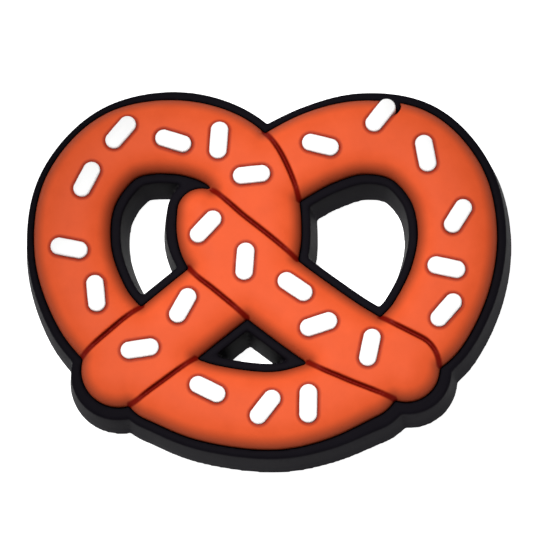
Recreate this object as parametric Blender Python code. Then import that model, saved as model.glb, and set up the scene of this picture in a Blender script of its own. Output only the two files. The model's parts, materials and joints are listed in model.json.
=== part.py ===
# Soft rubber pretzel charm: a black backing plate, one raised orange dough relief with
# five strands that cross, and 23 white salt grains let into it. It lies face up.
# Metres, +Z up, +Y towards the two top lobes, origin on the middle of the flat back.
import bpy
import bmesh
import math
import numpy as np
from mathutils import Vector

MM = 0.001

# Driving dimensions
PLATE_THICK = 3.0 * MM
RIM_WIDTH = 0.55 * MM
WALL_DRAFT = 0.36 * MM
RELIEF = 1.0 * MM
SALT_LENGTH = 2.36 * MM
SALT_WIDTH = 1.10 * MM
SEAM_WIDTH = 0.26 * MM
FIT_GAP = 0.1 * MM

# Sizes that follow from them
POCKET_DEPTH = 0.5 * MM
STRAND_LIFT = 0.04 * MM
SEAM_DEPTH = 0.5 * MM
SALT_PROUD = 0.10 * MM
POINT_SPACING = 0.65 * MM
CLEAR = 0.6 * MM

# Each strand: its place in the pile (0 is the lowest) and its centre line as
# (x, y, half width) in mm
STRANDS = {
    "right_lobe": (0, [
        (0.10, 6.15, 2.45), (3.30, 7.90, 2.42), (6.25, 8.58, 2.36), (9.22, 7.88, 2.44), (11.30, 5.46, 2.45),
        (11.95, 2.40, 2.45), (11.45, -0.66, 2.50), (10.10, -3.42, 2.52), (8.70, -4.80, 2.35)]),
    "belly": (0, [
        (-6.50, -7.10, 2.30), (-3.50, -8.26, 2.40), (0.20, -8.80, 2.43), (3.00, -8.30, 2.43),
        (5.90, -7.00, 2.40)]),
    "left_lobe": (1, [
        (-8.60, -4.80, 2.42), (-10.75, -2.20, 2.42), (-12.02, 1.45, 2.40), (-11.62, 5.30, 2.36),
        (-9.15, 8.22, 2.30), (-5.45, 8.76, 2.38), (-2.10, 7.53, 2.41), (-0.45, 4.80, 2.40),
        (-0.15, 2.50, 2.40), (-0.40, 0.80, 2.40)]),
    "left_end": (2, [
        (-9.05, -6.10, 2.36), (-6.87, -4.50, 2.36), (-4.45, -2.55, 2.38), (-2.20, -0.75, 2.40)]),
    "front_end": (3, [
        (-4.05, 3.75, 1.50), (-3.50, 2.60, 2.05), (-2.80, 1.60, 2.36), (-1.60, 0.57, 2.40),
        (1.15, -1.70, 2.40), (4.05, -3.87, 2.40), (5.65, -4.80, 2.30), (7.10, -5.55, 2.17),
        (8.70, -6.28, 2.05)]),
}

# The plate follows the strands, but its rim is wider round the two lower corners and a little
# narrower on the left: strand, number of the point from 0, and the plate's own point there
PLATE_POINTS = {
    "right_lobe": {1: (3.35, 7.83, 2.40), 2: (6.27, 8.54, 2.38)},
    "belly": {3: (3.05, -8.38, 2.43), 4: (6.05, -7.22, 2.40)},
    "left_lobe": {
        2: (-11.95, 1.45, 2.38), 3: (-11.54, 5.25, 2.34), 4: (-9.10, 8.16, 2.28), 5: (-5.45, 8.76, 2.42)},
    "left_end": {0: (-9.12, -6.30, 2.38)},
    "front_end": {0: (-4.08, 3.74, 1.56), 1: (-3.55, 2.60, 2.10), 8: (8.82, -6.42, 2.10)},
}

# Each seam follows the edge of the strand that lies on top, between two places in mm
SEAMS = [
    ("front_end", (-3.8, 5.5), (2.4, 0.8)),
    ("front_end", (-4.8, 0.3), (-1.2, -3.3)),
    ("front_end", (2.9, -6.0), (7.9, -8.2)),
    ("front_end", (7.4, -3.1), (10.8, -5.9)),
    ("left_end", (-8.0, -2.1), (-11.3, -5.3)),
    ("left_end", (-4.1, -5.5), (-8.0, -8.3)),
    ("left_lobe", (0.2, 8.6), (2.2, 4.6)),
]

# Salt grains on each strand: x and y in mm, and the turn of the long side from +X in degrees
SALTS = {
    "left_lobe": [
        (-9.00, 8.85, 50), (-5.70, 8.25, 162), (-2.85, 8.25, 86), (-0.80, 6.00, 5),
        (-11.10, 5.85, 63), (-12.15, 1.45, 168), (-10.45, -1.45, 96)],
    "right_lobe": [
        (3.50, 7.85, 165), (7.25, 9.70, 52), (10.05, 7.20, 100), (12.00, 3.15, 58),
        (11.25, -0.10, 167), (11.20, -2.80, 49)],
    "front_end": [
        (-3.65, 2.70, 47), (-1.20, 0.45, 86), (1.90, -1.20, 145), (3.35, -3.60, 18), (6.50, -5.10, 78)],
    "left_end": [(-5.05, -2.30, 61), (-7.70, -5.00, 8)],
    "belly": [(-3.50, -7.60, 153), (0.05, -8.75, 52), (2.70, -8.55, 89)],
}

# The second grain of the right lobe crosses the edge of the dough, which steps back round its end
EDGE_SALT = SALTS["right_lobe"][1]
NOTCH_RADIUS = 0.85 * MM

# Rounded edge of the dough: steps inward from the edge in mm, and the height there as a share of
# the crown's
EDGE_STEPS = [(0.00, 0.08), (0.08, 0.30), (0.25, 0.54), (0.55, 0.80), (0.90, 0.94), (1.28, 1.00)]

# Rounded edge of a grain: steps inward from its edge in mm, and the drop below its top there
SALT_STEPS = [(0.00, 0.20), (0.07, 0.05), (0.24, 0.00)]

# Name: colour, roughness, metallic
FINISHES = {
    "black_rubber": ((0.010, 0.009, 0.011), 0.55, 0.0),
    "orange_rubber": ((0.75, 0.110, 0.040), 0.50, 0.0),
    "white_rubber": ((0.90, 0.90, 0.90), 0.45, 0.0),
}


def clear_scene():
    for item in list(bpy.data.objects):
        bpy.data.objects.remove(item, do_unlink=True)


def new_collection(name):
    group = bpy.data.collections.new(name)
    bpy.context.scene.collection.children.link(group)
    return group


def make_materials():
    made = {}
    for name, (colour, roughness, metallic) in FINISHES.items():
        material = bpy.data.materials.new(name)
        material.use_nodes = True
        shader = material.node_tree.nodes["Principled BSDF"]
        shader.inputs["Base Color"].default_value = (*colour, 1.0)
        shader.inputs["Roughness"].default_value = roughness
        shader.inputs["Metallic"].default_value = metallic
        made[name] = material
    return made


def smooth_run(points):
    """Even steps along a smooth curve through the points, as rows of x, y, half width in metres."""
    knots = np.array(points) * MM
    knots = np.vstack([2 * knots[0] - knots[1], knots, 2 * knots[-1] - knots[-2]])
    fine = []
    for a, b, c, d in zip(knots, knots[1:], knots[2:], knots[3:]):
        for t in np.linspace(0, 1, 24, endpoint=False):
            bend = (2 * a - 5 * b + 4 * c - d) * t ** 2 + (3 * b - a - 3 * c + d) * t ** 3
            fine.append(0.5 * (2 * b + (c - a) * t + bend))
    fine = np.array(fine + [knots[-2]])
    travelled = np.concatenate([[0], np.cumsum(np.hypot(*np.diff(fine[:, :2], axis=0).T))])
    count = round(travelled[-1] / POINT_SPACING) + 1
    even = np.linspace(0, travelled[-1], count)
    return np.column_stack([np.interp(even, travelled, fine[:, k]) for k in range(3)])


def strand_outline(run, grow=0.0):
    """Outline of a strand with round ends, anticlockwise, as x, y pairs."""
    places = run[:, :2]
    widths = run[:, 2] + grow
    along = np.gradient(places, axis=0)
    length = np.hypot(*along.T)
    heading = np.arctan2(along[:, 1], along[:, 0])
    spread = np.arccos(np.clip(-np.gradient(run[:, 2]) / length, -1, 1))
    right = [(k, heading[k] - spread[k]) for k in range(len(run))]
    left = [(k, heading[k] + spread[k]) for k in range(len(run))]
    corners = right + end_arc(len(run) - 1, right[-1][1], left[-1][1], widths[-1])
    corners += left[::-1] + end_arc(0, left[0][1], right[0][1] + 2 * math.pi, widths[0])
    return [places[k] + widths[k] * np.array([math.cos(turn), math.sin(turn)]) for k, turn in corners]


def strand_top(name):
    """Height of the flat crown of a strand: the higher in the pile, the higher the crown."""
    return PLATE_THICK + RELIEF + STRANDS[name][0] * STRAND_LIFT


def all_salts():
    """Number, strand and place of each grain."""
    places = [(name, place) for name, grains in SALTS.items() for place in grains]
    return [(number, name, place) for number, (name, place) in enumerate(places, 1)]


def end_arc(place, start, stop, radius):
    """Turns between two tangents round the end of a strand, without the tangents themselves."""
    count = max(2, round(radius * (stop - start) / POINT_SPACING))
    return [(place, turn) for turn in np.linspace(start, stop, count + 1)[1:-1]]


def salt_outline(x, y, turn, grow=0.0):
    """Outline of a grain: a straight-sided oval, anticlockwise."""
    radius = SALT_WIDTH / 2 + grow
    reach = (SALT_LENGTH - SALT_WIDTH) / 2
    corners = []
    for side in (0, 1):
        for angle in np.linspace(-math.pi / 2, math.pi / 2, 7) + side * math.pi:
            centre = reach if side == 0 else -reach
            corners.append((centre + radius * math.cos(angle), radius * math.sin(angle)))
    spin = math.radians(turn)
    axis = np.array([math.cos(spin), math.sin(spin)])
    across = np.array([-axis[1], axis[0]])
    middle = np.array([x, y]) * MM
    return [middle + u * axis + v * across for u, v in corners]


def raised_mesh(name, outline, bottom, levels):
    """Solid on an outline. Levels are (inset from the outline, height) from the lowest up."""
    model = bmesh.new()
    top = model.faces.new([model.verts.new((x, y, bottom)) for x, y in outline])
    inset, height = 0.0, bottom
    for next_inset, next_height in levels:
        if next_inset == inset:
            top = bmesh.ops.extrude_discrete_faces(model, faces=[top])["faces"][0]
            bmesh.ops.translate(model, verts=list(top.verts), vec=(0, 0, next_height - height))
        else:
            model.normal_update()
            bmesh.ops.inset_region(
                model, faces=[top], thickness=next_inset - inset, depth=next_height - height,
                use_even_offset=True, use_boundary=True)
            for vertex in top.verts:
                vertex.co.z = next_height
        inset, height = next_inset, next_height
    open_edges = [edge for edge in model.edges if edge.is_boundary]
    bmesh.ops.holes_fill(model, edges=open_edges)
    bmesh.ops.recalc_face_normals(model, faces=list(model.faces))
    mesh = bpy.data.meshes.new(name)
    model.to_mesh(mesh)
    model.free()
    return mesh


def add_object(name, mesh, group, material=None):
    item = bpy.data.objects.new(name, mesh)
    group.objects.link(item)
    if material:
        mesh.materials.append(material)
        mesh.shade_smooth()
        mesh.set_sharp_from_angle(angle=math.radians(35))
    else:
        item.hide_render = True
        item.display_type = "WIRE"
    return item


def cut_or_join(item, operation, group):
    change = item.modifiers.new(operation.lower() + " " + group.name, "BOOLEAN")
    change.operation = operation
    change.operand_type = "COLLECTION"
    change.collection = group
    change.solver = "EXACT"


def edge_between(outline, start, stop):
    """The shorter way along an outline between the corners nearest to two places in mm."""
    corners = np.array(outline)
    first = int(np.argmin(np.hypot(*(corners - np.array(start) * MM).T)))
    last = int(np.argmin(np.hypot(*(corners - np.array(stop) * MM).T)))
    count = len(corners)
    forward = [(first + k) % count for k in range((last - first) % count + 1)]
    backward = [(first - k) % count for k in range((first - last) % count + 1)]
    return corners[min(forward, backward, key=len)]


def seam_cutter(name, path, group):
    """A wire along the path, tall and narrow, that cuts the groove of a seam."""
    curve = bpy.data.curves.new(name, "CURVE")
    curve.dimensions = "3D"
    curve.bevel_depth = SEAM_WIDTH / 2
    curve.bevel_resolution = 1
    curve.use_fill_caps = True
    curve.twist_mode = "Z_UP"
    spline = curve.splines.new("POLY")
    spline.points.add(len(path) - 1)
    for point, (x, y) in zip(spline.points, path):
        point.co = (x, y, 0, 1)
    wire = bpy.data.objects.new(name, curve)
    group.objects.link(wire)
    wire.location.z = PLATE_THICK + RELIEF
    wire.scale.z = SEAM_DEPTH / (SEAM_WIDTH / 2)
    bpy.context.view_layer.update()
    mesh = bpy.data.meshes.new_from_object(wire.evaluated_get(bpy.context.evaluated_depsgraph_get()))
    model = bmesh.new()
    model.from_mesh(mesh)
    bmesh.ops.remove_doubles(model, verts=list(model.verts), dist=1e-7)
    bmesh.ops.recalc_face_normals(model, faces=list(model.faces))
    model.transform(wire.matrix_world)
    model.to_mesh(mesh)
    model.free()
    bpy.data.objects.remove(wire)
    return add_object(name, mesh, group)


def plate_run(name):
    """The strand's smooth run, with the plate's own points in place of the dough's."""
    points = list(STRANDS[name][1])
    for number, point in PLATE_POINTS[name].items():
        points[number] = point
    return smooth_run(points)


def make_plate(group, material, runs):
    """Drafted black plate: five strand shapes joined, with the bed of the dough cut in its top."""
    joined = new_collection("plate strands")
    beds = new_collection("dough bed")
    lands = new_collection("edge grain land")
    foot = RIM_WIDTH + WALL_DRAFT
    plate = None
    for name, run in runs.items():
        outline = strand_outline(plate_run(name), foot)
        mesh = raised_mesh("plate " + name, outline, 0.0, [(WALL_DRAFT, PLATE_THICK)])
        if plate is None:
            plate = add_object("base", mesh, group, material)
        else:
            add_object("plate " + name, mesh, joined)
        bed_floor = PLATE_THICK - POCKET_DEPTH
        bed_levels = [(0.0, PLATE_THICK + CLEAR)]
        bed = raised_mesh("bed " + name, strand_outline(run, FIT_GAP), bed_floor, bed_levels)
        add_object("bed " + name, bed, beds)
    add_object("land", notch_mesh("land", FIT_GAP, PLATE_THICK), lands)
    cut_or_join(plate, "UNION", joined)
    cut_or_join(plate, "DIFFERENCE", beds)
    cut_or_join(plate, "UNION", lands)
    return plate


def notch_mesh(name, shrink, top):
    """Round post at the outer end of the grain that crosses the edge."""
    x, y, turn = EDGE_SALT
    reach = (SALT_LENGTH - SALT_WIDTH) / 2
    spin = math.radians(turn)
    centre = Vector((x * MM + reach * math.cos(spin), y * MM + reach * math.sin(spin), 0))
    bottom = PLATE_THICK - POCKET_DEPTH - CLEAR
    model = bmesh.new()
    radius = NOTCH_RADIUS - shrink
    bmesh.ops.create_cone(
        model, cap_ends=True, segments=20, radius1=radius, radius2=radius, depth=top - bottom)
    bmesh.ops.translate(model, verts=list(model.verts), vec=centre + Vector((0, 0, (top + bottom) / 2)))
    mesh = bpy.data.meshes.new(name)
    model.to_mesh(mesh)
    model.free()
    return mesh


def make_dough(group, material, runs):
    """Orange relief: five cushioned strands joined, with seams and grain pockets cut in."""
    joined = new_collection("dough strands")
    seams = new_collection("seams")
    pockets = new_collection("grain pockets")
    dough = None
    for name, run in runs.items():
        height = strand_top(name) - PLATE_THICK
        levels = [(step * MM, PLATE_THICK + share * height) for step, share in EDGE_STEPS]
        bottom = PLATE_THICK - POCKET_DEPTH + FIT_GAP
        mesh = raised_mesh("dough " + name, strand_outline(run), bottom, levels)
        if dough is None:
            dough = add_object("dough", mesh, group, material)
        else:
            add_object("dough " + name, mesh, joined)
    for number, (name, start, stop) in enumerate(SEAMS, 1):
        seam_cutter(f"seam {number}", edge_between(strand_outline(runs[name]), start, stop), seams)
    for number, name, place in all_salts():
        levels = [(0.0, PLATE_THICK + RELIEF + CLEAR)]
        pocket = raised_mesh(f"pocket {number}", salt_outline(*place, FIT_GAP), PLATE_THICK, levels)
        add_object(f"pocket {number}", pocket, pockets)
    add_object("notch", notch_mesh("notch", 0.0, PLATE_THICK + RELIEF + CLEAR), pockets)
    cut_or_join(dough, "UNION", joined)
    cut_or_join(dough, "DIFFERENCE", seams)
    cut_or_join(dough, "DIFFERENCE", pockets)
    return dough


def make_salts(group, material):
    """White grains, each a little proud of its strand, with a rounded top edge."""
    for number, strand, place in all_salts():
        top = strand_top(strand) + SALT_PROUD
        levels = [(step * MM, top - drop * MM) for step, drop in SALT_STEPS]
        name = f"salt_{number:02d}"
        mesh = raised_mesh(name, salt_outline(*place), PLATE_THICK + FIT_GAP, levels)
        add_object(name, mesh, group, material)


def build():
    clear_scene()
    charm = new_collection("pretzel charm")
    materials = make_materials()
    runs = {name: smooth_run(points) for name, (_, points) in STRANDS.items()}
    make_plate(charm, materials["black_rubber"], runs)
    make_dough(charm, materials["orange_rubber"], runs)
    make_salts(charm, materials["white_rubber"])


build()
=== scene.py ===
import json
import math
import bpy
import numpy as np
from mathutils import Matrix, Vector
from mathutils.kdtree import KDTree

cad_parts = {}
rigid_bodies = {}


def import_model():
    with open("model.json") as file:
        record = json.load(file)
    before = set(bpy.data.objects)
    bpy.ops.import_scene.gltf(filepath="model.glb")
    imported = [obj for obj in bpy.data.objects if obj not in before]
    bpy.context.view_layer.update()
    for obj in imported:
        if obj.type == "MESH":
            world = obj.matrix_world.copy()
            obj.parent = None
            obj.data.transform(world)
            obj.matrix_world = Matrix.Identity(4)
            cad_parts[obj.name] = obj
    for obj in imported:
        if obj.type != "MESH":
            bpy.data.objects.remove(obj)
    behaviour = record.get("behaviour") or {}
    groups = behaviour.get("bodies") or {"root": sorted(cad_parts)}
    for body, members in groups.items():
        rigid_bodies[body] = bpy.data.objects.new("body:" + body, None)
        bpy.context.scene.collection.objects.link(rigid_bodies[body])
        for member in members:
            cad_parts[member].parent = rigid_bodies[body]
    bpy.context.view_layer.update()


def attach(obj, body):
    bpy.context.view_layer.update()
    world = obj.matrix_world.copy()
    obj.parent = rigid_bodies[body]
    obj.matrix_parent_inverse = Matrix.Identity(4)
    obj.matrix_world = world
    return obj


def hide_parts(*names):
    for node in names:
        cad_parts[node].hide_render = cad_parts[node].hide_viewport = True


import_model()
print("stage: frame loaded")

# The charm is modelled in millimetres, one unit to the millimetre, and each finished piece is
# scaled to metres at the end: the voxel remesh can't go finer than 0.0001 units.
toMetres = 0.001

# Five strands: the dough's centre line as x, y, half width, and the points, by number from 0,
# that the plate under it has elsewhere
strands = {
    "rightLobe": {
        "line": [
            (0.10, 6.15, 2.45), (3.30, 7.90, 2.42), (6.25, 8.58, 2.36), (9.22, 7.88, 2.44),
            (11.30, 5.46, 2.45), (11.95, 2.40, 2.45), (11.45, -0.66, 2.50), (10.10, -3.42, 2.52),
            (8.70, -4.80, 2.35)],
        "plate": {1: (3.35, 7.83, 2.40), 2: (6.27, 8.54, 2.38)}},
    "belly": {
        "line": [
            (-6.50, -7.10, 2.30), (-3.50, -8.26, 2.40), (0.20, -8.80, 2.43), (3.00, -8.30, 2.43),
            (5.90, -7.00, 2.40)],
        "plate": {3: (3.05, -8.38, 2.43), 4: (6.05, -7.22, 2.40)}},
    "leftLobe": {
        "line": [
            (-8.60, -4.80, 2.42), (-10.75, -2.20, 2.42), (-12.02, 1.45, 2.40), (-11.62, 5.30, 2.36),
            (-9.15, 8.22, 2.30), (-5.45, 8.76, 2.38), (-2.10, 7.53, 2.41), (-0.45, 4.80, 2.40),
            (-0.15, 2.50, 2.40), (-0.40, 0.80, 2.40)],
        "plate": {2: (-11.95, 1.45, 2.38), 3: (-11.54, 5.25, 2.34), 4: (-9.10, 8.16, 2.28),
                  5: (-5.45, 8.76, 2.42)}},
    "leftEnd": {
        "line": [
            (-9.05, -6.10, 2.36), (-6.87, -4.50, 2.36), (-4.45, -2.55, 2.38), (-2.20, -0.75, 2.40)],
        "plate": {0: (-9.12, -6.30, 2.38)}},
    "frontEnd": {
        "line": [
            (-4.02, 3.91, 1.49), (-3.50, 2.68, 2.03), (-2.80, 1.60, 2.36), (-1.60, 0.57, 2.40),
            (1.15, -1.70, 2.40), (4.05, -3.87, 2.40), (5.65, -4.80, 2.30), (7.10, -5.55, 2.17),
            (8.70, -6.28, 2.05)],
        "plate": {0: (-4.05, 3.90, 1.55), 1: (-3.55, 2.66, 2.09), 8: (8.82, -6.42, 2.10)}},
}


def startPiece():
    if bpy.context.object and bpy.context.object.mode != "OBJECT":
        bpy.ops.object.mode_set(mode="OBJECT")
    bpy.ops.object.select_all(action="DESELECT")


def makeActive(piece):
    startPiece()
    piece.select_set(True)
    bpy.context.view_layer.objects.active = piece


def applyModifier(piece, kind, **settings):
    makeActive(piece)
    change = piece.modifiers.new(kind.lower(), kind)
    for setting, value in settings.items():
        setattr(change, setting, value)
    bpy.ops.object.modifier_apply(modifier=change.name)


def joinOrCut(piece, other, operation):
    applyModifier(piece, "BOOLEAN", operation=operation, object=other, solver="MANIFOLD")
    bpy.data.objects.remove(other)


def evenRun(line, spacing=0.22):
    # the smooth line through the points, in even steps
    knots = np.array(line)
    knots = np.vstack([2 * knots[0] - knots[1], knots, 2 * knots[-1] - knots[-2]])
    fine = []
    for a, b, c, d in zip(knots, knots[1:], knots[2:], knots[3:]):
        for t in np.linspace(0, 1, 40, endpoint=False):
            bend = (2 * a - 5 * b + 4 * c - d) * t ** 2 + (3 * b - a - 3 * c + d) * t ** 3
            fine.append(0.5 * (2 * b + (c - a) * t + bend))
    fine = np.array(fine + [knots[-2]])
    travelled = np.concatenate([[0], np.cumsum(np.hypot(*np.diff(fine[:, :2], axis=0).T))])
    even = np.linspace(0, travelled[-1], round(travelled[-1] / spacing) + 1)
    return np.column_stack([np.interp(even, travelled, fine[:, k]) for k in range(3)])


def strandOutline(name, grow=0.0, ofPlate=False, spacing=0.22):
    # round-ended outline of a strand, anticlockwise
    line = list(strands[name]["line"])
    if ofPlate:
        for number, point in strands[name]["plate"].items():
            line[number] = point
    run = evenRun(line, spacing)
    places = run[:, :2]
    widths = run[:, 2] + grow
    along = np.gradient(places, axis=0)
    heading = np.unwrap(np.arctan2(along[:, 1], along[:, 0]))
    spread = np.arccos(np.clip(-np.gradient(run[:, 2]) / np.hypot(*along.T), -1, 1))
    last = len(run) - 1
    turns = [(k, heading[k] - spread[k]) for k in range(len(run))]
    backs = [(k, heading[k] + spread[k]) for k in range(len(run))][::-1]
    tip = np.arange(turns[-1][1], backs[0][1], spacing / widths[last])[1:-1]
    tail = np.arange(backs[-1][1], turns[0][1] + 2 * math.pi, spacing / widths[0])[1:-1]
    turns += [(last, turn) for turn in tip] + backs + [(0, turn) for turn in tail]
    return [places[k] + widths[k] * np.array([math.cos(turn), math.sin(turn)]) for k, turn in turns]


def strandSlab(outline, low, steps):
    # a filled circle pulled out into the outline and extruded, then its top inset step by step,
    # each time a little further in and higher
    startPiece()
    bpy.ops.mesh.primitive_circle_add(vertices=len(outline), radius=1, fill_type="NGON")
    slab = bpy.context.object
    for vertex, (x, y) in zip(slab.data.vertices, outline):
        vertex.co = (x, y, low)
    bpy.ops.object.mode_set(mode="EDIT")
    bpy.ops.mesh.select_all(action="SELECT")
    bpy.ops.mesh.extrude_region_move(TRANSFORM_OT_translate={"value": (0, 0, steps[0][1] - low)})
    for (inset, height), (nextInset, nextHeight) in zip(steps, steps[1:]):
        bpy.ops.mesh.inset(thickness=nextInset - inset, depth=nextHeight - height, use_even_offset=True)
    bpy.ops.mesh.select_all(action="SELECT")
    bpy.ops.mesh.normals_make_consistent(inside=False)
    bpy.ops.object.mode_set(mode="OBJECT")
    return slab


def joinedStrands(name, grow, ofPlate, low, steps):
    joined = None
    for strand in strands:
        slab = strandSlab(strandOutline(strand, grow, ofPlate), low, steps)
        if joined is None:
            joined = slab
        else:
            joinOrCut(joined, slab, "UNION")
    joined.name = name
    joined.data.name = name
    return joined


def selectFaces(piece, wanted):
    # selects the faces whose centre and normal pass the test, in face mode
    makeActive(piece)
    bpy.ops.object.mode_set(mode="EDIT")
    bpy.ops.mesh.select_mode(type="FACE")
    bpy.ops.mesh.select_all(action="DESELECT")
    bpy.ops.object.mode_set(mode="OBJECT")
    for face in piece.data.polygons:
        face.select = wanted(face.center, face.normal)
    bpy.ops.object.mode_set(mode="EDIT")


def finishPiece(piece, nodes):
    makeActive(piece)
    piece.scale = (toMetres, toMetres, toMetres)
    bpy.ops.object.transform_apply(location=True, rotation=True, scale=True)
    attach(piece, "root")
    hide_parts(*nodes)


def smooth(piece, rounds):
    applyModifier(piece, "SMOOTH", factor=0.5, iterations=rounds)


def soften(piece, voxel, rounds):
    # fine even faces, evened out as in a moulding
    size = voxel * 1
    applyModifier(piece, "REMESH", mode="VOXEL", voxel_size=size, use_smooth_shade=True)
    smooth(piece, rounds)


def thin(piece, triangles, below):
    # only the part under the given height is thinned
    applyModifier(piece, "TRIANGULATE")
    share = triangles / len(piece.data.polygons)
    if share < 1:
        low = piece.vertex_groups.new(name="low")
        numbers = [vertex.index for vertex in piece.data.vertices if vertex.co.z < below]
        low.add(numbers, 1.0, "REPLACE")
        applyModifier(piece, "DECIMATE", ratio=share, vertex_group="low")
        piece.vertex_groups.clear()


# Black backing plate
plate = {
    "thick": 3.0,
    "rimWidth": 0.55,
    # the wall, from the foot up: inset from the foot's outline, and height
    "wall": [(0.0, 0.12), (0.34, 2.88), (0.365, 2.95), (0.41, 2.99), (0.47, 3.0)],
    "wallDraft": 0.36,
    # the bed of the dough, and how far the post at the edge grain reaches down into its floor
    "bedFloor": 2.56,
    "bedGap": 0.06,
    "postRoot": 0.1,
    "cutAbove": 1.0,  # the bed's cutter goes this far over the rim
    "voxel": 0.11,
    "rounds": 3,
    "triangles": 60000,
    "thinBelow": 4.0,  # all of it
}


def makePlate():
    foot = plate["rimWidth"] + plate["wallDraft"]
    base = joinedStrands("plate", foot, True, 0.0, plate["wall"])
    over = plate["thick"] + plate["cutAbove"]
    bed = joinedStrands("bed", plate["bedGap"], False, plate["bedFloor"], [(0.0, over)])
    joinOrCut(base, bed, "DIFFERENCE")
    post = notchPost(plate["bedGap"], plate["bedFloor"] - plate["postRoot"], plate["thick"])
    joinOrCut(base, post, "UNION")
    soften(base, plate["voxel"], plate["rounds"])
    thin(base, plate["triangles"], plate["thinBelow"])
    return base


# Orange dough relief
dough = {
    "bottom": 2.6,
    "top": 4.0,
    # the notch's cutter starts well below the dough, and every cutter ends well above it
    "cutHeights": (2.0, 5.0),
    # the rolled edge: height at the free outline, how far in the top is reached, and the two powers
    # that shape the curve between
    "edgeLow": 3.02,
    "roll": 2.20,
    "rollPowers": (2.5, 0.6),
    "freeMargin": 0.01,  # an outline this little inside another strand still counts as free
    # the soft lip on both sides of a seam: how deep, and how wide
    "lip": (0.07, 0.45),
    "voxel": 0.08,
    # rounds of smoothing before the seams and pockets are cut, and after
    "roundsBefore": 6,
    "roundsAfter": 3,
    "triangles": 185000,
    # what lies lower is hidden or steep, and is thinned
    "thinBelow": 3.45,
}

# Seams, each along the edge of the strand that lies on top, between two places. The upper seam of
# the left end runs straight instead, through points of its own.
seams = {
    "spacing": 0.1,  # between the points of a seam
    "halfWidth": 0.14,
    "depth": 0.36,
    # how far a seam runs on past the edge of the strand under it
    "overrun": 0.06,
    "runs": [
        ("frontEnd", (-3.8, 5.5), (2.6, 0.6)),
        ("frontEnd", (-5.0, 0.5), (-1.0, -3.5)),
        ("frontEnd", (2.7, -5.8), (8.3, -8.4)),
        ("frontEnd", (7.2, -2.9), (11.0, -6.1)),
        ("", [(-7.65, -2.15), (-8.80, -3.10), (-9.90, -4.05), (-10.90, -4.90), (-11.50, -5.45)]),
        ("leftEnd", (-3.9, -5.3), (-8.3, -8.5)),
        ("leftLobe", (-0.1, 8.9), (2.3, 4.2)),
    ],
}

# White salt grains, with their places as x, y and the turn of the long side in degrees, in the
# CAD's order
grains = {
    "length": 2.36,
    "width": 1.10,
    "proud": 0.14,
    "bottom": 3.1,
    "gap": 0.005,
    # the sloping shoulder round the top, and how much of it the bevel rounds off
    "shoulder": 0.07,
    "bevelShare": 0.6,
    "pocketFloor": 3.4,
    # each grain is a little longer or shorter, wider or narrower, by up to this share
    "uneven": 0.02,
    "seed": 23,
    "places": [
        (-9.00, 8.85, 50), (-5.70, 8.25, 162), (-2.85, 8.25, 86), (-0.80, 6.00, 5),
        (-11.10, 5.85, 63), (-12.15, 1.45, 168), (-10.45, -1.45, 96),
        (3.50, 7.85, 165), (7.25, 9.70, 52), (10.05, 7.20, 100), (12.00, 3.15, 58),
        (11.25, -0.10, 167), (11.20, -2.80, 49),
        (-3.65, 2.70, 47), (-1.20, 0.45, 86), (1.90, -1.20, 145), (3.35, -3.60, 18),
        (6.50, -5.10, 78), (-5.05, -2.30, 61), (-7.70, -5.00, 8),
        (-3.50, -7.60, 153), (0.05, -8.75, 52), (2.70, -8.55, 89)],
    # which grain crosses the dough's edge, and the round notch at its outer end
    "edgeGrain": 9,
    "notchRadius": 0.72,
    "notchShift": 0.26,
}


def seamPath(name, *places):
    # the shorter way along the strand's outline between the two places
    if not name:
        return np.array(places[0])
    outline = np.array(strandOutline(name, spacing=seams["spacing"]))
    first, last = [int(np.argmin(np.hypot(*(outline - place).T))) for place in places]
    count = len(outline)
    ways = []
    for step in (1, -1):
        steps = (step * (last - first)) % count + 1
        ways.append([(first + k * step) % count for k in range(steps)])
    path = outline[min(ways, key=len)]
    return path[clearOf(path, name) < seams["overrun"]]


def clearOf(points, name):
    # how far each point lies outside the other strands, under 0 inside one
    gaps = []
    for other in strands:
        if other != name:
            run = evenRun(strands[other]["line"], seams["spacing"])
            reach = np.hypot(points[:, :1] - run[:, 0], points[:, 1:] - run[:, 1]) - run[:, 2]
            gaps.append(reach.min(axis=1))
    return np.min(gaps, axis=0)


def seamCutter(run):
    # a thin upright blade that follows the seam
    path = seamPath(*run)
    startPiece()
    bpy.ops.curve.primitive_nurbs_path_add(radius=1, location=(0, 0, 0))
    blade = bpy.context.object
    line = blade.data.splines.new("POLY")
    blade.data.splines.remove(blade.data.splines[0])
    line.points.add(len(path) - 1)
    for point, (x, y) in zip(line.points, path):
        point.co = (x, y, 0, 1)
    blade.data.twist_mode = "Z_UP"
    blade.data.bevel_depth = seams["halfWidth"]
    blade.data.bevel_resolution = 3
    blade.data.use_fill_caps = True
    bpy.ops.object.convert(target="MESH")
    blade.location.z = dough["top"]
    blade.scale.z = seams["depth"] / seams["halfWidth"]
    bpy.ops.object.transform_apply(location=True, rotation=True, scale=True)
    bpy.ops.object.mode_set(mode="EDIT")
    bpy.ops.mesh.select_all(action="SELECT")
    bpy.ops.mesh.remove_doubles(threshold=0.001)
    bpy.ops.mesh.normals_make_consistent(inside=False)
    bpy.ops.object.mode_set(mode="OBJECT")
    return blade


def halfStraight():
    # half the length of an oval's straight sides
    return (grains["length"] - grains["width"]) / 2


def ovalSlab(place, grow, low, high):
    # a cylinder pulled out at both ends into a straight-sided oval, then turned and set in place
    x, y, turn = place
    startPiece()
    bpy.ops.mesh.primitive_cylinder_add(
        vertices=32, radius=grains["width"] / 2 + grow, depth=high - low,
        location=(0, 0, (high + low) / 2))
    slab = bpy.context.object
    for vertex in slab.data.vertices:
        if abs(vertex.co.x) > 0.001:
            vertex.co.x += math.copysign(halfStraight(), vertex.co.x)
    slab.rotation_euler.z = math.radians(turn)
    slab.location.x = x
    slab.location.y = y
    bpy.ops.object.transform_apply(location=True, rotation=True, scale=True)
    return slab


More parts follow.
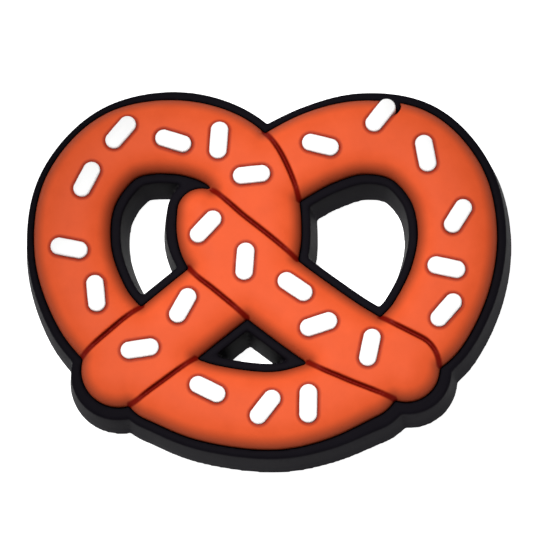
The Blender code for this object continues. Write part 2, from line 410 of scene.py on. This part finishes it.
def notchPost(shrink, low, high):
    # the round bay of the rim at the outer end of the grain that crosses the edge
    x, y, turn = grains["places"][grains["edgeGrain"] - 1]
    spin = math.radians(turn)
    reach = halfStraight() + grains["notchShift"]
    startPiece()
    bpy.ops.mesh.primitive_cylinder_add(
        vertices=48, radius=grains["notchRadius"] - shrink, depth=high - low,
        location=(x + reach * math.cos(spin), y + reach * math.sin(spin), (low + high) / 2))
    return bpy.context.object


def closeSteps(path, spacing=0.02):
    # the same path in short even steps
    travelled = np.concatenate([[0], np.cumsum(np.hypot(*np.diff(path, axis=0).T))])
    even = np.arange(0, travelled[-1], spacing)
    return np.column_stack([np.interp(even, travelled, path[:, k]) for k in (0, 1)])


def freeOutline():
    # what is left of the five outlines outside the other strands
    kept = []
    for name in strands:
        outline = strandOutline(name)
        outline = closeSteps(np.array(outline + outline[:1]))
        kept.append(outline[clearOf(outline, name) > -dough["freeMargin"]])
    return np.vstack(kept)


def seamPoints():
    return np.vstack([closeSteps(seamPath(*run)) for run in seams["runs"]])


def gapsTo(points, places):
    # distance, seen from above, from each place to the nearest of the points
    tree = KDTree(len(points))
    for k, (x, y) in enumerate(points):
        tree.insert((x, y, 0), k)
    tree.balance()
    return np.array([tree.find((x, y, 0))[2] for x, y in places[:, :2]])


def pointsOf(piece):
    places = np.empty(len(piece.data.vertices) * 3)
    piece.data.vertices.foreach_get("co", places)
    return places.reshape(-1, 3)


def rollEdges(body):
    # lowers the flat top towards the free outline, and a little towards each seam
    places = pointsOf(body)
    upper = places[:, 2] > dough["edgeLow"]
    inward = np.clip(1 - gapsTo(freeOutline(), places[upper]) / dough["roll"], 0, 1)
    inner, outer = dough["rollPowers"]
    roof = dough["edgeLow"] + (dough["top"] - dough["edgeLow"]) * (1 - inward ** inner) ** outer
    depth, width = dough["lip"]
    roof -= depth * np.clip(1 - gapsTo(seamPoints(), places[upper]) / width, 0, 1) ** 2
    places[upper, 2] = np.minimum(places[upper, 2], roof)
    body.data.vertices.foreach_set("co", places.ravel())
    body.data.update()
    smooth(body, dough["roundsBefore"])


def makeDough():
    body = joinedStrands("dough_relief", 0.0, False, dough["bottom"], [(0.0, dough["top"])])
    soften(body, dough["voxel"], 1)
    rollEdges(body)
    low, high = dough["cutHeights"]
    cutter = notchPost(0.0, low, high)
    for place in grains["places"]:
        joinOrCut(cutter, ovalSlab(place, grains["gap"], grains["pocketFloor"], high), "UNION")
    for run in seams["runs"]:
        joinOrCut(cutter, seamCutter(run), "UNION")
    joinOrCut(body, cutter, "DIFFERENCE")
    soften(body, dough["voxel"], dough["roundsAfter"])
    thin(body, dough["triangles"], dough["thinBelow"])
    return body


def insideOval(place, margin):
    along = max(abs(place.x) - halfStraight(), 0)
    return math.hypot(along, place.y) < grains["width"] / 2 - margin


def makeGrain():
    # one grain, in place at the middle: an oval whose sides spread a little towards the foot
    low, high = grains["bottom"], dough["top"] + grains["proud"]
    grain = ovalSlab((0, 0, 0), 0.0, low, high)
    selectFaces(grain, lambda centre, normal: normal.z > 0.9)
    bpy.ops.mesh.inset(thickness=grains["shoulder"], depth=0.0)
    bpy.ops.mesh.select_more()
    bpy.ops.object.mode_set(mode="OBJECT")
    for vertex in grain.data.vertices:
        if vertex.co.z > high - 0.01 and not insideOval(vertex.co, grains["shoulder"] * 0.5):
            vertex.co.z -= grains["shoulder"]
    applyModifier(grain, "BEVEL", width=grains["shoulder"] * grains["bevelShare"], segments=3,
                  limit_method="ANGLE", angle_limit=math.radians(20))
    return grain


def markCreases(body, farOff=1.5):
    # how far each point lies from the free edge, the nearest seam and the edge of the nearest grain;
    # anything further than farOff counts as that far
    places = pointsOf(body)
    ringGap = np.full(len(places), farOff)
    for x, y, turn in grains["places"]:
        across = places[:, :2] - (x, y)
        spin = math.radians(turn)
        along = across @ (math.cos(spin), math.sin(spin))
        side = across @ (-math.sin(spin), math.cos(spin))
        gap = np.hypot(np.maximum(np.abs(along) - halfStraight(), 0), side) - grains["width"] / 2
        ringGap = np.minimum(ringGap, np.abs(gap))
    edgeGap = gapsTo(freeOutline(), places)
    # the orange material paints shade by these distances
    for name, gap in (("edge", edgeGap), ("seam", gapsTo(seamPoints(), places)), ("ring", ringGap)):
        mark = body.data.attributes.new(name, "FLOAT", "POINT")
        mark.data.foreach_set("value", np.minimum(gap, farOff))


# Surface of the soft rubber, for all three colours: faint blotches and a fine grain, whose sizes
# are noise scales, so a larger number is finer
rubberSurface = {
    "inputs": {"blotch size": 700, "grain size": 9000, "roughness": 0.4, "roughness spread": 0.1},
    "bumpStrength": 0.08,
    "bumpHeight": 0.00002,
}


def makeRubberGroup():
    group = bpy.data.node_groups.new("mouldedRubber", "ShaderNodeTree")
    for name, value in rubberSurface["inputs"].items():
        socket = group.interface.new_socket(name=name, in_out="INPUT", socket_type="NodeSocketFloat")
        socket.default_value = value
    for name in ("blotch", "roughness"):
        group.interface.new_socket(name=name, in_out="OUTPUT", socket_type="NodeSocketFloat")
    group.interface.new_socket(name="normal", in_out="OUTPUT", socket_type="NodeSocketVector")
    nodes, links = group.nodes, group.links
    inside = nodes.new("NodeGroupInput")
    outside = nodes.new("NodeGroupOutput")
    place = nodes.new("ShaderNodeTexCoord")
    blotch = nodes.new("ShaderNodeTexNoise")
    blotch.inputs["Detail"].default_value = 3
    blotch.inputs["Roughness"].default_value = 0.55
    fine = nodes.new("ShaderNodeTexNoise")
    fine.inputs["Detail"].default_value = 2
    links.new(place.outputs["Object"], blotch.inputs["Vector"])
    links.new(place.outputs["Object"], fine.inputs["Vector"])
    links.new(inside.outputs["blotch size"], blotch.inputs["Scale"])
    links.new(inside.outputs["grain size"], fine.inputs["Scale"])
    spread = nodes.new("ShaderNodeMath")
    spread.operation = "MULTIPLY_ADD"
    lifted = nodes.new("ShaderNodeMath")
    lifted.operation = "SUBTRACT"
    lifted.inputs[1].default_value = 0.5
    links.new(blotch.outputs["Fac"], lifted.inputs[0])
    links.new(lifted.outputs[0], spread.inputs[0])
    links.new(inside.outputs["roughness spread"], spread.inputs[1])
    links.new(inside.outputs["roughness"], spread.inputs[2])
    bump = nodes.new("ShaderNodeBump")
    bump.inputs["Strength"].default_value = rubberSurface["bumpStrength"]
    bump.inputs["Distance"].default_value = rubberSurface["bumpHeight"]
    links.new(fine.outputs["Fac"], bump.inputs["Height"])
    links.new(blotch.outputs["Fac"], outside.inputs["blotch"])
    links.new(spread.outputs[0], outside.inputs["roughness"])
    links.new(bump.outputs["Normal"], outside.inputs["normal"])
    return group


# Colours, between which the blotches vary, and shine
finishes = {
    "black": {"low": (0.0055, 0.0045, 0.0065), "high": (0.008, 0.007, 0.010),
              "roughness": 0.50, "specular": 0.006},
    "orange": {"low": (0.67, 0.082, 0.020), "high": (0.80, 0.110, 0.032),
               "roughness": 0.55, "specular": 0.08},
    "white": {"low": (0.92, 0.92, 0.91), "high": (0.95, 0.95, 0.95),
              "roughness": 0.45, "specular": 0.30},
    # painted shade along the free edge, round the grains and in the seams: darker colours, full up
    # to the first distance in mm, gone at the second
    # painted shade on the rolled edge, darker towards the free outline
    "edge": {"paintedShade": (0.28, 0.046, 0.017), "near": 0.0, "far": 0.85, "share": 0.85},
    # painted shade in the crevice round each grain
    "ring": {"paintedShade": (0.36, 0.034, 0.012), "near": 0.08, "far": 0.30, "share": 1.0},
    # painted shade in the seam grooves
    "seam": {"paintedShade": (0.17, 0.004, 0.0006), "near": 0.10, "far": 0.26, "share": 1.0},
}


def rubberMaterial(name, group):
    finish = finishes[name]
    material = bpy.data.materials.new(name)
    material.use_nodes = True
    nodes, links = material.node_tree.nodes, material.node_tree.links
    shader = nodes["Principled BSDF"]
    surface = nodes.new("ShaderNodeGroup")
    surface.node_tree = group
    surface.inputs["roughness"].default_value = finish["roughness"]
    tone = nodes.new("ShaderNodeMix")
    tone.data_type = "RGBA"
    tone.inputs[6].default_value = (*finish["low"], 1)
    tone.inputs[7].default_value = (*finish["high"], 1)
    links.new(surface.outputs["blotch"], tone.inputs[0])
    colour = tone.outputs[2]
    if name == "orange":
        # painted shade: the orange is darkened towards the free edge, round the grains and in the seams
        for mark in ("edge", "ring", "seam"):
            distance = nodes.new("ShaderNodeAttribute")
            distance.attribute_name = mark
            share = nodes.new("ShaderNodeMapRange")
            share.interpolation_type = "SMOOTHSTEP"
            share.inputs["From Min"].default_value = finishes[mark]["near"]
            share.inputs["From Max"].default_value = finishes[mark]["far"]
            share.inputs["To Min"].default_value = finishes[mark]["share"]
            share.inputs["To Max"].default_value = 0
            blend = nodes.new("ShaderNodeMix")
            blend.data_type = "RGBA"
            blend.inputs[7].default_value = (*finishes[mark]["paintedShade"], 1)
            links.new(distance.outputs["Fac"], share.inputs["Value"])
            links.new(share.outputs["Result"], blend.inputs[0])
            links.new(colour, blend.inputs[6])
            colour = blend.outputs[2]
    links.new(colour, shader.inputs["Base Color"])
    links.new(surface.outputs["roughness"], shader.inputs["Roughness"])
    links.new(surface.outputs["normal"], shader.inputs["Normal"])
    shader.inputs["Specular IOR Level"].default_value = finish["specular"]
    return material


def dress(piece, material):
    piece.data.materials.clear()
    piece.data.materials.append(material)


base = makePlate()
print("stage: plate", len(base.data.polygons))
body = makeDough()
markCreases(body)
print("stage: dough", len(body.data.polygons))
rubber = makeRubberGroup()
black = rubberMaterial("black", rubber)
orange = rubberMaterial("orange", rubber)
white = rubberMaterial("white", rubber)
dress(base, black)
dress(body, orange)
finishPiece(base, ["base"])
finishPiece(body, ["dough"])
master = makeGrain()
uneven = np.random.default_rng(grains["seed"])
for number, (x, y, turn) in enumerate(grains["places"], 1):
    grain = master.copy()
    grain.data = master.data.copy()
    bpy.context.collection.objects.link(grain)
    grain.name = f"grain_{number:02d}"
    makeActive(grain)
    stretch, widen = uneven.uniform(-grains["uneven"], grains["uneven"], 2)
    grain.scale = (1 + stretch, 1 + widen, 1)
    grain.rotation_euler.z = math.radians(turn)
    grain.location = (x, y, 0)
    bpy.ops.object.transform_apply(location=True, rotation=True, scale=True)
    grain.data.shade_smooth()
    dress(grain, white)
    finishPiece(grain, [f"salt_{number:02d}"])
bpy.data.objects.remove(master)
print("stage: grains", len(grains["places"]))


# Light floor, lamps and camera, in metres
studio = {
    # the floor lies just clear of the flat back
    "floor": {"colour": (0.95, 0.95, 0.95), "glow": 0.95, "gap": 0.00002},
    "world": 0.22,
    # a spotlight from above: place in metres, size, watts, and the reach of its pool of light
    "key": {"place": (-0.050, 0.045, 0.29), "aim": (0.0022, -0.0022, 0.0),
            "size": 0.004, "watts": 3.55, "reach": 0.0245},
    # a large soft panel to the left
    "panel": {"place": (-0.20, 0.08, 0.16), "size": 0.12, "watts": 0.05},
    # the photograph's angle: place, and turns about x, y and z in degrees
    "camera": {"place": (0.01337, -0.05403, 0.23084), "turns": (13.4, 3.34, 0), "lens": 255},
}


def floorMaterial():
    # plain white, lit a little from within like a light table
    material = bpy.data.materials.new("floor")
    material.use_nodes = True
    shader = material.node_tree.nodes["Principled BSDF"]
    shader.inputs["Base Color"].default_value = (*studio["floor"]["colour"], 1)
    shader.inputs["Roughness"].default_value = 0.9
    shader.inputs["Specular IOR Level"].default_value = 0.1
    shader.inputs["Emission Color"].default_value = (1, 1, 1, 1)
    shader.inputs["Emission Strength"].default_value = studio["floor"]["glow"]
    return material


def addCamera():
    turns = [math.radians(turn) for turn in studio["camera"]["turns"]]
    bpy.ops.object.camera_add(location=studio["camera"]["place"], rotation=turns)
    camera = bpy.context.object
    camera.data.lens = studio["camera"]["lens"]
    camera.data.sensor_width = 36
    camera.data.clip_start = 0.01
    bpy.context.scene.camera = camera


def addLight(name, kind, settings):
    place, aim = Vector(settings["place"]), Vector(settings.get("aim", (0, 0, 0)))
    bpy.ops.object.light_add(type=kind, location=place)
    light = bpy.context.object
    light.name = name
    light.data.energy = settings["watts"]
    light.rotation_euler = (aim - place).to_track_quat("-Z", "Y").to_euler()
    if kind == "AREA":
        light.data.shape = "DISK"
        light.data.size = settings["size"]
    else:
        light.data.shadow_soft_size = settings["size"]
        light.data.spot_size = 2 * math.atan(settings["reach"] / (aim - place).length)
        light.data.spot_blend = 1.0


startPiece()
addCamera()
addLight("key", "SPOT", studio["key"])
addLight("panel", "AREA", studio["panel"])
world = bpy.data.worlds.new("studio")
bpy.context.scene.world = world
world.use_nodes = True
world.node_tree.nodes["Background"].inputs["Color"].default_value = (1, 1, 1, 1)
world.node_tree.nodes["Background"].inputs["Strength"].default_value = studio["world"]
bpy.ops.mesh.primitive_plane_add(size=2.0, location=(0, 0, -studio["floor"]["gap"]))
floor = bpy.context.object
floor.name = "floor"
floor.data.materials.append(floorMaterial())
bpy.context.scene.view_settings.view_transform = "Standard"
